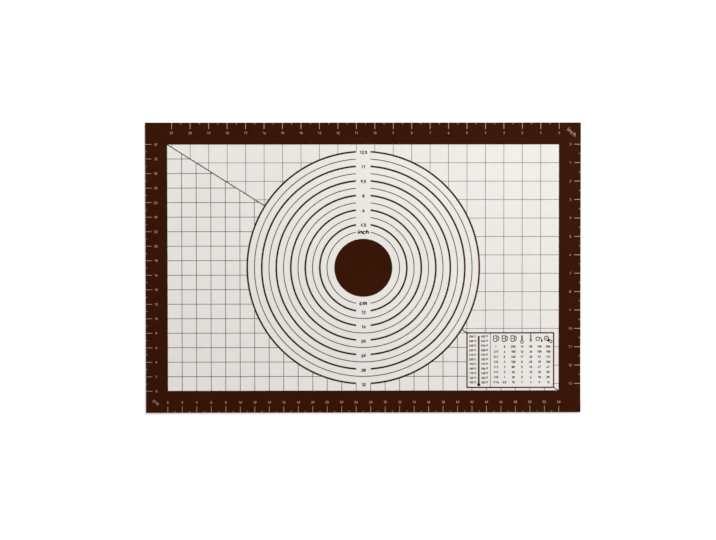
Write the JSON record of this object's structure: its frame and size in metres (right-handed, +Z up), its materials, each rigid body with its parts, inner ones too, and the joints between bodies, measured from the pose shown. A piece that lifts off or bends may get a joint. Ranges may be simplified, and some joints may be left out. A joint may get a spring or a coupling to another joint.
{
  "type": "pastry mat",
  "caption": "Flat rectangular silicone pastry mat with a brown ruler border, centimetre and inch grids, concentric pastry circles and a framed conversion chart.",
  "frame": {"origin": "centre of the underside, on the surface that the mat lies on", "axes": "+X along the long side towards the inch ruler's side, +Y along the short side away from the user, +Z up out of the printed face"},
  "size_m": [0.6, 0.4, 0.0008],
  "materials": {
    "silicone": "satin pale silicone",
    "glass_fibre": "woven glass fibre, silicone filled",
    "ink": "satin brown silicone ink"
  },
  "bodies": {
    "root": {"back_coat": "silicone", "glass_fibre_core": "glass_fibre", "face_coat": "silicone", "border_print": "ink", "chart_frame_print": "ink", "thermometer_print": "ink", "centre_disc_print": "ink", "ring_01_right_print": "ink", "ring_01_left_print": "ink", "ring_02_right_print": "ink", "ring_02_left_print": "ink", "ring_03_print": "ink", "ring_04_right_print": "ink", "ring_04_left_print": "ink", "ring_05_print": "ink", "ring_06_right_print": "ink", "ring_06_left_print": "ink", "ring_07_print": "ink", "ring_08_right_print": "ink", "ring_08_left_print": "ink", "ring_09_print": "ink", "ring_10_right_print": "ink", "ring_10_left_print": "ink", "ring_11_print": "ink", "ring_12_right_print": "ink", "ring_12_left_print": "ink", "cm_grid_print": "ink", "chart_lead_print": "ink", "inch_grid_print": "ink", "divider_upper_print": "ink", "divider_middle_print": "ink", "divider_lower_print": "ink"}
  },
  "joints": []
}
